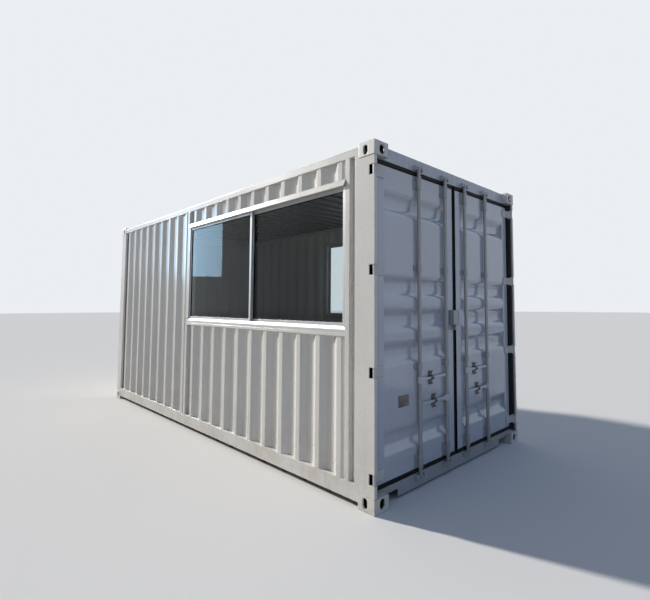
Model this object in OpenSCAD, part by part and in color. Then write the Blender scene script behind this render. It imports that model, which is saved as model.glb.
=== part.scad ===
// Twenty-foot high cube shipping container fitted out as a cabin.
// A wide sliding window is cut into each long side and a pair of cargo doors closes one end.
// Lengths are in millimetres. X runs from the closed end to the doors, Y across, Z up from the ground.

/* [Overall] */
// Length over the corner castings
overall_l = 6058; // [5200:1:7400]
// Width over the corner castings
overall_w = 2438; // [2250:1:2600]
// Height over the corner castings
overall_h = 2896; // [2820:1:3050]
// How far the posts and rails lie inside the casting faces
face_inset = 4; // [2:0.5:8]

/* [Corner castings] */
// Length of a casting along the container
casting_l = 178; // [172:1:190]
// Width of a casting across the container
casting_w = 162; // [155:1:172]
// Height of a casting
casting_h = 118; // [114:1:126]
// Thickness of the plate that holds the long slot
casting_plate = 28; // [24:1:32]
// Thickness of the outer walls
casting_wall = 16; // [12:1:20]
// Thickness of the blind inner walls
casting_back = 12; // [8:1:16]
// Length of the slot for a twistlock
slot_l = 124.5; // [118:0.5:128]
// Width of the slot for a twistlock
slot_w = 63.5; // [58:0.5:66]
// Distance of the slot's centre from the end face
slot_from_end = 102.5; // [98:0.5:104]
// Distance of the slot's centre from the side face
slot_from_side = 89.5; // [86:0.5:92]
// Height of the upright holes in the side and end faces
side_hole_h = 79.5; // [70:0.5:82]
// Width of the upright holes in the side faces
side_hole_w = 51; // [46:0.5:54]
// Width of the upright holes in the end faces
end_hole_w = 60; // [54:0.5:66]

/* [Posts] */
// Plate thickness of the four posts
post_t = 6; // [5:0.5:8]
// Side plate of a door post, along the container
door_post_l = 219; // [205:1:235]
// Return of a door post's side plate across the end
door_return = 30; // [26:1:32]
// Depth of the inner channel of a door post, along the container
jamb_l = 99; // [90:1:102]
// Width of a door post across the container, to the face of the opening
jamb_w = 45; // [40:1:50]
// Lip of a post at the closed end, before its slanting inner face
end_post_lip = 28; // [24:1:34]

/* [Rails] */
// Side of the square top rails
top_rail = 60; // [50:1:64]
// Wall of the top rails
top_rail_t = 3; // [2.5:0.5:5]
// How far the top rails lie below the tops of the castings
top_rail_drop = 30; // [26:1:36]
// Height of the bottom side rails
bottom_rail_h = 130; // [120:1:145]
// Width of the flange that the wall stands on
bottom_rail_w = 48; // [44:1:60]
// Width of the lower flange of the bottom side rails
bottom_rail_lip = 30; // [25:1:40]
// Plate thickness of the bottom side rails
bottom_rail_t = 4.5; // [4:0.5:6]
// Height of the bottom side rails above the ground
bottom_rail_z = 48; // [42:1:54]

/* [Floor] */
// Height of a cross member
cross_h = 122; // [115:1:126]
// Flange width of a cross member
cross_w = 45; // [40:1:60]
// Plate thickness of a cross member
cross_t = 4; // [3.5:0.5:6]
// Height of the cross members above the ground
cross_z = 12.5; // [10:0.5:16]
// Number of cross members
cross_count = 18; // [14:1:22]
// Thickness of the plywood floor
board_t = 28; // [24:1:30]
// Joint between two floor boards
board_gap = 3; // [2:0.5:5]
// Rows of floor boards along the container
board_rows = 5; // [4:1:7]

/* [Wall and roof sheets] */
// Thickness of the corrugated sheet
sheet_t = 2; // [1.6:0.1:3]
// How far the wall's crests lie inside the faces of the posts
wall_step = 5; // [3:0.5:8]
// Pitch of the side wall's waves
wave_pitch = 278; // [260:1:300]
// Flat outer crest of the side wall's waves
wave_crest = 56; // [50:1:90]
// Slope of the side wall's waves, measured along the wall
wave_slope = 68; // [50:1:80]
// Depth of the side wall's waves
wave_depth = 36; // [30:1:38]
// Shift of the waves from the middle of the wall towards the doors
wave_shift = -5; // [-15:1:15]
// Pitch of the end wall's waves
end_pitch = 250; // [230:1:270]
// Flat outer crest of the end wall's waves
end_crest = 110; // [90:1:120]
// Slope of the end wall's waves, measured across the wall
end_slope = 18; // [14:1:30]
// Depth of the end wall's waves
end_depth = 45; // [36:1:48]
// Pitch of the troughs pressed into the roof
roof_pitch = 209; // [195:1:230]
// Flat bottom of a roof trough
roof_trough = 91; // [80:1:100]
// Slope of a roof trough's sides
roof_slope = 13.5; // [10:0.5:20]
// Depth of a roof trough
roof_depth = 20; // [15:1:24]
// Flat margin between the ends of the roof troughs and the roof's edge
roof_margin = 120; // [100:1:160]
// Length of a roof plate behind a casting
roof_plate_l = 300; // [250:1:320]
// Width of a roof plate behind a casting
roof_plate_w = 270; // [220:1:300]
// Thickness of a roof plate
roof_plate_t = 3; // [2:0.5:5]

/* [Windows] */
// Width of a window over its frame
window_w = 3010; // [2400:1:3100]
// Height of a window over its frame
window_h = 1260; // [1000:1:1270]
// Distance of the window frame's top below the top rail
window_drop = 196; // [180:1:260]
// Distance from the window frame to the door post
window_to_post = 115; // [100:1:140]
// Width of the steel studs beside the window
stud_w = 50; // [40:1:60]
// Depth of the steel studs and rails round the window
stud_d = 50; // [40:1:55]
// Height of the steel rail over the window
head_rail_h = 26; // [22:1:60]
// Height of the steel rail under the window
sill_rail_h = 30; // [25:1:50]
// Wall thickness of the steel tubes round the window
stud_t = 3; // [2:0.5:4]
// Visible width of the aluminium frame at its sides
frame_w = 30; // [26:1:36]
// Height of the aluminium frame's head
frame_head = 28; // [26:1:34]
// Height of the aluminium frame's sill
frame_sill = 56; // [50:1:60]
// Depth of the aluminium frame through the wall
frame_d = 80; // [76:1:95]
// Visible width of a sash member
sash_w = 34; // [28:1:45]
// Depth of a sash member
sash_d = 22; // [18:1:24]
// Gap between the two sash tracks
track_gap = 6; // [4:0.5:8]
// Thickness of the glass
glass_t = 5; // [4:0.5:8]
// How far the drip flashing stands out from the wall
flashing_out = 20; // [16:1:30]
// Height of the drip flashing
flashing_h = 60; // [52:1:70]
// Thickness of the drip flashing
flashing_t = 2; // [1.5:0.5:3]

/* [Door end] */
// How far the header and sill lie behind the castings' end faces
header_recess = 63; // [60:1:68]
// How far the header's top lies below the castings' tops
header_drop = 6; // [4:1:12]
// Plate thickness of the header
header_t = 4; // [3:0.5:6]
// Height of the door sill's lower edge above the ground
sill_z = 20; // [14:1:26]
// How far the sill's top lies above the castings
sill_rise = 20; // [16:1:26]
// Plate thickness of the sill
sill_t = 5; // [4:0.5:8]
// Width of the notch in the sill beside each casting
sill_notch_w = 183; // [160:1:200]
// Top of the notch above the ground
sill_notch_top = 82; // [74:1:90]
// Gap between the header and the top of a door leaf
leaf_gap_top = 43; // [38:1:48]
// Gap between the sill and the foot of a door leaf
leaf_gap_bottom = 40; // [36:1:46]
// Gap between the two door leaves
leaf_gap_middle = 48; // [44:1:56]
// Gap between a door leaf and the face of the opening
leaf_gap_side = 30; // [28:1:36]
// Depth of a door leaf
leaf_d = 50; // [46:1:54]
// Width of the tubes that frame a door leaf
leaf_tube = 100; // [80:1:110]
// Wall of the tubes that frame a door leaf
leaf_tube_t = 3; // [2.5:0.5:4]
// Height of a trough in the door panel, at its mouth
panel_mouth = 180; // [165:1:195]
// Height of a trough in the door panel, at its bottom
panel_bottom = 84; // [70:1:100]
// Depth of a trough in the door panel
panel_depth = 36; // [30:1:38]
// Spacing of the three middle troughs
panel_pitch = 277; // [255:1:290]
// Distance of the top and bottom troughs from the ends of the panel
panel_margin = 195.5; // [170:0.5:240]
// Running gap between a door's rubber seal and the frame
seal_gap = 7; // [5:0.5:9]
// Depth of the rubber seal
seal_d = 38; // [30:1:40]

/* [Door gear] */
// Diameter of a lock bar
bar_d = 34; // [30:1:36]
// Distance of a lock bar's middle from the face of the leaf
bar_off = 24; // [23:0.5:26]
// Distance of the inner lock bars from the middle of the container
bar_inner = 179; // [170:1:190]
// Distance of the outer lock bars from the middle of the container
bar_outer = 597; // [570:1:620]
// Width of the brackets on the lock bars
bracket_w = 112; // [100:1:124]
// Height of the bearing brackets at the bars' ends
bearing_h = 118; // [100:1:130]
// Height of the guide brackets along the bars
guide_h = 52; // [44:1:60]
// Height of the lower guide brackets above the ground
guide_low = 1043; // [950:1:1120]
// Height of the upper guide brackets above the ground
guide_high = 1904; // [1800:1:2000]
// Thickness of the bracket plates
bracket_t = 6; // [4:0.5:6.5]
// Clearance round a lock bar in its brackets
bar_clear = 0.5; // [0.3:0.1:1]
// Width of a cam on a lock bar
cam_w = 60; // [50:1:64]
// Height of a cam
cam_h = 18; // [14:1:24]
// Clear space between a cam and the ears of its keeper
keeper_gap = 8; // [6:0.5:10]
// Thickness of a keeper's ear
keeper_t = 12; // [10:1:16]
// Height of a keeper's ear
keeper_h = 44; // [36:1:50]
// Distance of the keepers from the edges of the header and sill
keeper_edge = 4; // [2:1:12]
// How far a keeper stands out from the header or sill
keeper_out = 40; // [34:1:46]
// Length of a door handle from the middle of its bar
handle_l = 390; // [360:1:400]
// Thickness of a door handle
handle_t = 10; // [8:1:12]
// Height of a handle's clamp on its bar
handle_hub_h = 60; // [50:1:70]
// Height of a handle along its grip
handle_tip_h = 22; // [18:1:28]
// Height of the lower handle of each door above the ground
handle_low = 716; // [650:1:760]
// Height of the upper handle of each door above the ground
handle_high = 927; // [880:1:980]
// Place of the lower catch along its handle
catch_low_at = 191; // [160:1:300]
// Place of the upper catch along its handle
catch_high_at = 178; // [115:1:210]
// Width of a handle's catch
catch_w = 54; // [44:1:64]
// Height of a handle's catch
catch_h = 118; // [100:1:130]
// Plate thickness of a handle's catch
catch_t = 6; // [4:0.5:8]
// Width of the lock box, its two halves together
lockbox_w = 166; // [150:1:220]
// Height of the lock box
lockbox_h = 136; // [110:1:150]
// Height of the lock box's middle above the ground
lockbox_z = 1460; // [1380:1:1520]
// How far the lock box stands out from the leaves
lockbox_d = 58; // [46:1:58]
// Plate thickness of the lock box
lockbox_t = 5; // [4:0.5:6]
// How far the lock box lies off the middle of the doors, towards the left door
lockbox_shift = 18; // [10:1:24]
// How far the lug for the padlock reaches below the lock box
hasp_drop = 56; // [40:1:70]
// Gap between the halves of the lock box
lockbox_gap = 9; // [8:0.5:12]

/* [Hinges] */
// Distance of the hinge axis from the post's outer faces
hinge_inset = 15; // [15:0.5:17]
// Diameter of a hinge pin
pin_d = 16; // [14:0.5:18]
// Diameter of a hinge knuckle
knuckle_d = 26; // [24:0.5:28]
// Height of a hinge blade and its knuckle
blade_h = 80; // [66:1:90]
// Thickness of a hinge blade
blade_t = 12; // [10:1:14]
// Length of a hinge blade on the leaf
blade_l = 92; // [80:1:98]
// Radial clearance of a hinge pin
pin_clear = 0.1; // [0.05:0.01:0.1]
// Clearance above and below a knuckle
lug_gap = 1; // [0.5:0.1:2]
// Thickness of the lugs that hold a hinge pin
lug_t = 12; // [10:1:16]
// Gap between a knuckle and the edge of its notch in the post
notch_gap = 31; // [24:1:36]
// Height of the lowest hinges above the ground
hinge_low = 255; // [240:1:280]
// Distance of the highest hinges below the top
hinge_high = 236; // [225:1:260]

/* [Hidden] */

// Clearance between pieces that lie against each other
seat = 0.3;
// Overreach of a cut past the face that it goes through
cut = 1;
// Height of the casting's upright holes above the middle of its face
side_hole_rise = 6;
// How far the sashes reach into the grooves of their frame
sash_bite = 8;
// Depth of the outer sash track behind the frame's face
track_inset = 12;
// Height of the upright nose of the window sill
sill_nose = 28;
// Lip of the sill in front of the outer sash
track_lip = 2;
// How far the flashing laps over the wall above the window
flashing_lap = 4;
// Height of the flashing's flat upper edge
flashing_edge = 8;
// Height of the flashing's upright lip
flashing_lip = 10;
// How far the end wall's crests lie inside the posts
end_wall_step = 8;
// Steel of a hinge lug behind the knuckle
lug_back = 8;
// How far the lugs lie inside the post's faces
lug_step = 1;
// Length of a hinge pin's plain end past its lug, and height of its chamfer
pin_end = 3;
pin_chamfer = 2;
// Distance from the castings to the first and last cross members
cross_end = 40;
// How far the roof's trough blocks are cut past the top of the sheet
roof_open = 0.01;
// Length of the sloping ends of a roof trough
trough_end = 40;
// Distance from a bearing bracket to the edge of its leaf
bearing_edge = 4;
// How far the rubber seal lies in front of the leaf's rear face
seal_step = 4;
// How far each leaf's rubber reaches into the gap between the leaves
seal_lap = 16;
// Gap between a cam and the face behind it
cam_gap = 7;
// Thickness of a cam at its wings, and its steel round the bar
cam_edge = 12;
cam_nose = 3;
// Length of a lock bar's end past its cam
bar_end = 4;
// Steel of a handle's clamp round its bar
hub_wall = 7;
// How far the clamp stands above and below the root of its handle
hub_step = 8;
// Length of the wide root of a handle, and the place where its grip starts
root_l = 45;
grip_start = 85;
// Clear space round a handle in its catch
catch_clear = 1.5;
// Height of the slit in a catch's strap, and of its lower edge above the handle's middle
catch_slit = 4;
// Radius of the curled ends of a catch
catch_curl = 14;
// Side of the lock box's right half at the gap between the halves
lockbox_y = -4;
// Side, thickness and hole of the lug for the padlock
hasp_y = -40;
hasp_t = 10;
hasp_hole = 18;
// Where a blade's faces run into its knuckle, past its middle and inside its edge
blade_front = 3.3;
blade_side = 2.2;
blade_bite = 1;
// Rise of a hinge blade's crank, and the chamfer of its tip
blade_crank = 22;
blade_tip = 10;
// Steel of a hinge blade at its tip
blade_end = 8;
// Reach of a blade's full thickness past the edge of the leaf
blade_over = 14;

paint = [0.80, 0.79, 0.75];
door_paint = [0.66, 0.68, 0.70];
steel = [0.45, 0.46, 0.47];
rubber = [0.06, 0.06, 0.07];
aluminium = [0.78, 0.79, 0.80];

// Casting faces, and the faces of the posts and rails inside them
end_x = overall_l / 2;
side_y = overall_w / 2;
post_x = end_x - face_inset;
post_y = side_y - face_inset;
cast_x = end_x - casting_l;
cast_y = side_y - casting_w;

// Rails and the wall between them
wall_top = overall_h - top_rail_drop - top_rail;
wall_foot = bottom_rail_z + bottom_rail_h;
wall_y = post_y - wall_step;
window_top = wall_top - window_drop;
end_post_l = post_x - cast_x;
end_post_w = post_y - cast_y;
wall_x0 = -post_x + end_post_l;
wall_x1 = post_x - door_post_l;
wave_x = (wall_x0 + wall_x1) / 2 + wave_shift;
roof_z = wall_top + top_rail;
floor_z = cross_z + cross_h;

// Window opening in the steelwork
win_x1 = wall_x1 - window_to_post;
win_x0 = win_x1 - window_w;
win_x = (win_x0 + win_x1) / 2;
win_z0 = window_top - window_h;
sash_h = window_h - frame_head - frame_sill + 2 * sash_bite;
sash_z0 = win_z0 + frame_sill - sash_bite;
sash_l = (window_w - 2 * frame_w + sash_w + 2 * sash_bite) / 2;
front_track_y = post_y - track_inset;
rear_track_y = front_track_y - sash_d - track_gap;

// Door opening and leaves
head_x = end_x - header_recess;
leaf_x = head_x;
jamb_y = post_y - jamb_w;
header_z = overall_h - casting_h;
sill_top = casting_h + sill_rise;
leaf_z0 = sill_top + leaf_gap_bottom;
leaf_z1 = header_z - leaf_gap_top;
leaf_y0 = leaf_gap_middle / 2;
leaf_y1 = jamb_y - leaf_gap_side;
leaf_mid = (leaf_z0 + leaf_z1) / 2;
panel_y0 = leaf_y0 + leaf_tube;
panel_y1 = leaf_y1 - leaf_tube;
panel_z0 = leaf_z0 + leaf_tube;
panel_z1 = leaf_z1 - leaf_tube;
troughs = [panel_z0 + panel_margin, leaf_mid - panel_pitch, leaf_mid, leaf_mid + panel_pitch,
    panel_z1 - panel_margin];

// Door gear
bar_x = leaf_x + bar_off;
keeper_top = header_z + keeper_edge;
keeper_low = sill_top - keeper_edge - keeper_h;
bearing_top = leaf_z1 - bearing_h / 2 - bearing_edge;
bearing_low = leaf_z0 + bearing_h / 2 + bearing_edge;
bars = [bar_inner, bar_outer];

// Hinges
hinge_x = post_x - hinge_inset;
hinge_y = post_y - hinge_inset;
hinge_pitch = (overall_h - hinge_high - hinge_low) / 3;
hinge_zs = [for (i = [0:3]) hinge_low + i * hinge_pitch];
notch_x = hinge_x - knuckle_d / 2 - notch_gap;
notch_h = blade_h + 2 * lug_gap;

// Distance inward from the outer crest at place u, for waves with a crest centred at c
function wave(u, c, pitch, crest, slope, depth) =
    let (d = abs(u - c - pitch * round((u - c) / pitch)))
    depth * min(1, max(0, (d - crest / 2) / slope));

// Places between u0 and u1 where the sheet folds, with both ends
function folds(u0, u1, c, pitch, crest, slope) =
    concat([u0],
        [for (k = [floor((u0 - c) / pitch):ceil((u1 - c) / pitch)])
            for (f = [-crest / 2 - slope, -crest / 2, crest / 2, crest / 2 + slope])
                if (c + k * pitch + f > u0 + 0.5 && c + k * pitch + f < u1 - 0.5) c + k * pitch + f],
        [u1]);

// A closed outline drawn counter-clockwise, moved inwards by t
function inset(points, t) =
    let (n = len(points))
    [for (i = [0:n - 1])
        let (before = points[i] - points[(i + n - 1) % n], after = points[(i + 1) % n] - points[i],
            a = [-before[1], before[0]] / norm(before), b = [-after[1], after[0]] / norm(after))
        points[i] + t * (a + b) / (1 + a * b)];

// Outline of a corrugated sheet whose outer crests lie on v = 0, inward along -v
module corrugated(u0, u1, c, pitch, crest, slope, depth) {
    us = folds(u0, u1, c, pitch, crest, slope);
    vs = [for (u = us) -wave(u, c, pitch, crest, slope, depth)];
    last = len(us) - 1;
    polygon(concat(
        [for (i = [0:last]) [us[i], vs[i]]],
        [for (i = [last:-1:0]) [us[i], vs[i] - sheet_t]]));
}

// A slot with round ends, centred on the origin and long in X
module obround(l, w) {
    square([l - w, w], center = true);
    for (s = [-1, 1])
        translate([s * (l - w) / 2, 0]) circle(d = w, $fn = 48);
}

// A rectangular tube between two corners, open along one axis
module tube(low, size, wall, along) {
    clear = [for (i = [0:2]) i == along ? cut : -wall];
    difference() {
        translate(low) cube(size);
        translate(low - clear) cube(size + 2 * clear);
    }
}

module both_sides() {
    children();
    mirror([0, 1, 0]) children();
}

module both_ends() {
    children();
    mirror([1, 0, 0]) children();
}

module both_faces() {
    children();
    mirror([0, 0, 1]) children();
}

// One bottom casting at the corner of +X and +Y: a hollow box with a slot and two upright holes
module casting() {
    difference() {
        translate([cast_x, cast_y, 0]) cube([casting_l, casting_w, casting_h]);
        translate([cast_x + casting_back, cast_y + casting_back, casting_plate])
            cube([casting_l - casting_back - casting_wall, casting_w - casting_back - casting_wall,
                casting_h - casting_plate - casting_back]);
        translate([end_x - slot_from_end, side_y - slot_from_side, -cut])
            linear_extrude(casting_plate + 2 * cut) obround(slot_l, slot_w);
        translate([end_x - slot_from_end, side_y + cut, casting_h / 2 + side_hole_rise]) rotate([90, 0, 0])
            linear_extrude(casting_wall + 2 * cut) rotate(90) obround(side_hole_h, side_hole_w);
        translate([end_x + cut, side_y - slot_from_side, casting_h / 2 + side_hole_rise]) rotate([90, 0, -90])
            linear_extrude(casting_wall + 2 * cut) rotate(90) obround(side_hole_h, end_hole_w);
    }
}

module bottom_corner_castings() {
    color(paint) both_ends() both_sides() casting();
}

module top_corner_castings() {
    color(paint) both_ends() both_sides()
        translate([0, 0, overall_h]) mirror([0, 0, 1]) casting();
}

// Closed section of a post at the closed end: side face, end face and a slanting inner face
module end_corner_posts() {
    x0 = -post_x;
    y1 = post_y;
    outline = [[x0, y1], [x0, y1 - end_post_w], [x0 + end_post_lip, y1 - end_post_w],
        [x0 + end_post_l, y1 - end_post_lip], [x0 + end_post_l, y1]];
    color(paint) both_sides() translate([0, 0, casting_h]) linear_extrude(header_z - casting_h)
        difference() {
            polygon(outline);
            polygon(inset(outline, post_t));
        }
}

// Door post at +Y: side plate with a return round the end, and the inner channel beside the opening
module door_post_section() {
    translate([wall_x1, post_y - post_t]) square([door_post_l, post_t]);
    translate([post_x - post_t, post_y - door_return]) square([post_t, door_return]);
    difference() {
        translate([wall_x1, jamb_y]) square([jamb_l, jamb_w]);
        translate([wall_x1 + post_t, jamb_y + post_t]) square([jamb_l - 2 * post_t, jamb_w - 2 * post_t]);
    }
}

module door_corner_posts() {
    lug_x = hinge_x - knuckle_d / 2 - lug_back;
    color(paint) both_sides() difference() {
        union() {
            difference() {
                translate([0, 0, casting_h]) linear_extrude(wall_top - casting_h) door_post_section();
                for (z = hinge_zs)
                    translate([notch_x, post_y - door_return - cut, z - notch_h / 2])
                        cube([post_x - notch_x + cut, door_return + 2 * cut, notch_h]);
            }
            for (z = hinge_zs, s = [-1, 1])
                translate([lug_x, post_y - door_return, z + s * (notch_h + lug_t) / 2 - lug_t / 2])
                    cube([post_x - lug_step - lug_x, door_return - lug_step, lug_t]);
        }
        translate([wall_x1 - cut, jamb_y - cut, casting_h - cut])
            cube([cast_x - wall_x1 + cut, jamb_w + 2 * cut, wall_foot - casting_h + cut]);
        translate([cast_x, jamb_y - cut, header_z]) cube([casting_l, jamb_w + 2 * cut, wall_top]);
        for (z = hinge_zs)
            translate([hinge_x, hinge_y, z - notch_h / 2 - lug_t - cut])
                cylinder(h = notch_h + 2 * lug_t + 2 * cut, d = pin_d + 2 * pin_clear, $fn = 48);
    }
}

// Pins driven through the lugs, with chamfered ends
module hinge_pins() {
    half = notch_h / 2 + lug_t + pin_end;
    color(steel) both_sides() for (z = hinge_zs) translate([hinge_x, hinge_y, z]) {
        translate([0, 0, -half]) cylinder(h = 2 * half, d = pin_d, $fn = 48);
        both_faces() translate([0, 0, half])
            cylinder(h = pin_chamfer, d1 = pin_d, d2 = pin_d - 2 * pin_chamfer, $fn = 48);
    }
}

module top_side_rails() {
    color(paint) both_sides()
        tube([-cast_x, post_y - top_rail, wall_top], [2 * cast_x, top_rail, top_rail], top_rail_t, 0);
}

// A channel that opens inwards: the web is the face that shows, the wall stands on the top flange
module bottom_side_rails() {
    color(paint) both_sides() translate([-cast_x, 0, 0]) rotate([90, 0, 90])
        linear_extrude(2 * cast_x) {
            translate([post_y - bottom_rail_t, bottom_rail_z]) square([bottom_rail_t, bottom_rail_h]);
            translate([post_y - bottom_rail_w, wall_foot - bottom_rail_t])
                square([bottom_rail_w, bottom_rail_t]);
            translate([post_y - bottom_rail_lip, bottom_rail_z]) square([bottom_rail_lip, bottom_rail_t]);
        }
}

// Square tube over the closed end, and a deeper tube under its wall
module end_rails() {
    color(paint) {
        tube([-post_x, -cast_y, wall_top], [top_rail, 2 * cast_y, top_rail], top_rail_t, 1);
        tube([-post_x, -cast_y, bottom_rail_z], [top_rail, 2 * cast_y, bottom_rail_h], bottom_rail_t, 1);
    }
}

module door_header() {
    color(door_paint)
        tube([cast_x, -cast_y, header_z], [head_x - cast_x, 2 * cast_y, casting_h - header_drop],
            header_t, 1);
}

// Front plate with a notch beside each casting, a top plate that runs on over the castings, and a
// back plate that rises to the floor
module door_sill() {
    color(door_paint) {
        difference() {
            translate([head_x - sill_t, -cast_y, sill_z]) cube([sill_t, 2 * cast_y, sill_top - sill_z]);
            both_sides() translate([head_x - sill_t - cut, cast_y - sill_notch_w, sill_z - cut])
                cube([sill_t + 2 * cut, sill_notch_w + cut, sill_notch_top - sill_z + cut]);
        }
        translate([cast_x, -cast_y, sill_top - sill_t]) cube([head_x - cast_x, 2 * cast_y, sill_t]);
        translate([cast_x, -cast_y, sill_z]) cube([sill_t, 2 * cast_y, floor_z + board_t - sill_z]);
        translate([cast_x, -jamb_y, casting_h]) cube([head_x - cast_x, 2 * jamb_y, sill_rise]);
    }
}

// Two ears welded beside each cam, open to the front
module cam_keepers() {
    ear_y = cam_w / 2 + keeper_gap;
    color(door_paint) both_sides() for (y = bars, s = [-1, 1], z = [keeper_low, keeper_top])
        translate([head_x, y + s * (ear_y + keeper_t / 2) - keeper_t / 2, z])
            cube([keeper_out, keeper_t, keeper_h]);
}

// Channels across the frame, notched over the lower flanges of the side rails
module cross_members() {
    span = post_y - bottom_rail_t;
    first = -cast_x + cross_end;
    pitch = (2 * cast_x - 2 * cross_end - cross_w) / (cross_count - 1);
    color(steel) for (i = [0:cross_count - 1]) difference() {
        translate([first + i * pitch, span, cross_z]) rotate([90, 0, 0]) linear_extrude(2 * span)
            difference() {
                square([cross_w, cross_h]);
                translate([cross_t, cross_t]) square([cross_w, cross_h - 2 * cross_t]);
            }
        both_sides() translate([first + i * pitch - cut, post_y - bottom_rail_lip, cross_z - cut])
            cube([cross_w + 2 * cut, bottom_rail_lip, bottom_rail_z + bottom_rail_t - cross_z + cut]);
    }
}

module floor_boards() {
    x0 = -post_x + top_rail;
    rail_in = post_y - bottom_rail_t;
    under_flange = wall_foot - bottom_rail_t - floor_z;
    y1 = under_flange >= board_t ? rail_in - seat : post_y - bottom_rail_w - seat;
    step = (cast_x - x0) / board_rows;
    color([0.55, 0.40, 0.25]) both_sides() for (i = [0:board_rows - 1]) difference() {
        translate([x0 + i * step + board_gap / 2, board_gap / 2, floor_z])
            cube([step - board_gap, y1 - board_gap / 2, board_t]);
        both_ends() translate([cast_x - seat, cast_y - seat, floor_z - cut])
            cube([casting_l + cut, casting_w, board_t + 2 * cut]);
        translate([-post_x - cut, post_y - end_post_w - seat, floor_z - cut])
            cube([end_post_l + cut + seat, end_post_w, board_t + 2 * cut]);
        translate([wall_x1 - seat, jamb_y - seat, floor_z - cut])
            cube([door_post_l, jamb_w, board_t + 2 * cut]);
    }
}

// One pressed trough across the roof, with sloping sides and ends, deeper by grow
module roof_trough_block(x, grow) {
    half = roof_trough / 2;
    y_top = post_y - roof_margin;
    d = roof_depth + grow;
    intersection() {
        translate([x, y_top + cut, 0]) rotate([90, 0, 0]) linear_extrude(2 * y_top + 2 * cut)
            polygon([[-half - roof_slope, 0], [half + roof_slope, 0], [half + grow, -d], [-half - grow, -d]]);
        translate([x - half - roof_slope - cut, 0, 0]) rotate([90, 0, 90])
            linear_extrude(2 * half + 2 * roof_slope + 2 * cut)
                polygon([[-y_top, 0], [y_top, 0], [y_top - trough_end, -d], [-y_top + trough_end, -d]]);
    }
}

module roof_panel() {
    x0 = -post_x;
    count = floor((2 * cast_x - 2 * roof_plate_l) / roof_pitch);
    first = (x0 + cast_x) / 2 - (count - 1) * roof_pitch / 2;
    color(paint) translate([0, 0, roof_z]) difference() {
        union() {
            translate([x0, -post_y, 0]) cube([cast_x - x0, 2 * post_y, sheet_t]);
            for (i = [0:count - 1])
                translate([0, 0, sheet_t / 2]) roof_trough_block(first + i * roof_pitch, sheet_t / 2);
        }
        for (i = [0:count - 1])
            translate([0, 0, sheet_t + roof_open]) roof_trough_block(first + i * roof_pitch, -roof_open);
        both_sides() translate([x0 - cut, cast_y, -cut])
            cube([-cast_x - x0 + cut, casting_w, sheet_t + 2 * cut]);
    }
}

module roof_plates() {
    color(paint) both_ends() both_sides()
        translate([cast_x - roof_plate_l, post_y - roof_plate_w, roof_z + sheet_t])
            cube([roof_plate_l, roof_plate_w, roof_plate_t]);
}

module end_wall() {
    half = post_y - end_post_w;
    color(paint) translate([-post_x + end_wall_step, 0, wall_foot]) rotate(90)
        linear_extrude(wall_top - wall_foot)
            corrugated(-half, half, 0, end_pitch, end_crest, end_slope, end_depth);
}

// A stretch of side wall at +Y, with a trough of the waves at wave_x
module wall_sheet(x0, x1, z0, z1) {
    translate([0, wall_y, z0]) linear_extrude(z1 - z0)
        corrugated(x0, x1, wave_x + wave_pitch / 2, wave_pitch, wave_crest, wave_slope, wave_depth);
}

module long_wall() {
    wall_sheet(wall_x0, win_x0 - stud_w, wall_foot, wall_top);
}

module window_bay() {
    wall_sheet(win_x0, win_x1, wall_foot, win_z0 - sill_rail_h);
    wall_sheet(win_x0, win_x1, window_top + head_rail_h, wall_top);
    wall_sheet(win_x1 + stud_w, wall_x1, wall_foot, wall_top);
}

module left_wall() { color(paint) mirror([0, 1, 0]) long_wall(); }
module left_wall_window_bay() { color(paint) mirror([0, 1, 0]) window_bay(); }
module right_wall() { color(paint) long_wall(); }
module right_wall_window_bay() { color(paint) window_bay(); }

module window_studs() {
    color(paint) both_sides() for (x = [win_x0 - stud_w, win_x1])
        tube([x, post_y - stud_d, wall_foot], [stud_w, stud_d, wall_top - wall_foot], stud_t, 2);
}

module window_rails() {
    color(paint) both_sides() {
        tube([win_x0, post_y - stud_d, window_top], [window_w, stud_d, head_rail_h], stud_t, 0);
        tube([win_x0, post_y - stud_d, win_z0 - sill_rail_h], [window_w, stud_d, sill_rail_h], stud_t, 0);
    }
}

// Bent sheet over the window that throws the rain clear of the glass
module window_flashings() {
    top = window_top + head_rail_h + flashing_lap;
    foot = top - flashing_h;
    out = post_y + flashing_out;
    color(paint) both_sides() translate([win_x0, 0, 0]) rotate([90, 0, 90]) linear_extrude(window_w)
        polygon([[post_y, top], [post_y, top - flashing_edge - flashing_t],
            [out - flashing_t, foot + flashing_lip - flashing_t], [out - flashing_t, foot], [out, foot],
            [out, foot + flashing_lip], [post_y + flashing_t, top - flashing_edge], [post_y + flashing_t, top]]);
}

// Head and sill of the aluminium frame, the sill with its sloping outer face
module window_frame_rails() {
    y0 = post_y - frame_d;
    groove_w = sash_d + 2 * seat;
    groove = sash_bite + cut + seat;
    color(aluminium) both_sides() translate([win_x0, 0, 0]) rotate([90, 0, 90]) linear_extrude(window_w) {
        difference() {
            translate([y0, window_top - frame_head]) square([frame_d, frame_head]);
            for (y = [front_track_y, rear_track_y])
                translate([y - sash_d - seat, window_top - frame_head - cut]) square([groove_w, groove]);
        }
        difference() {
            polygon([[y0, win_z0], [post_y, win_z0], [post_y, win_z0 + sill_nose],
                [front_track_y + track_lip, win_z0 + frame_sill], [y0, win_z0 + frame_sill]]);
            for (y = [front_track_y, rear_track_y])
                translate([y - sash_d - seat, sash_z0 - seat]) square([groove_w, groove]);
        }
    }
}

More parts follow.
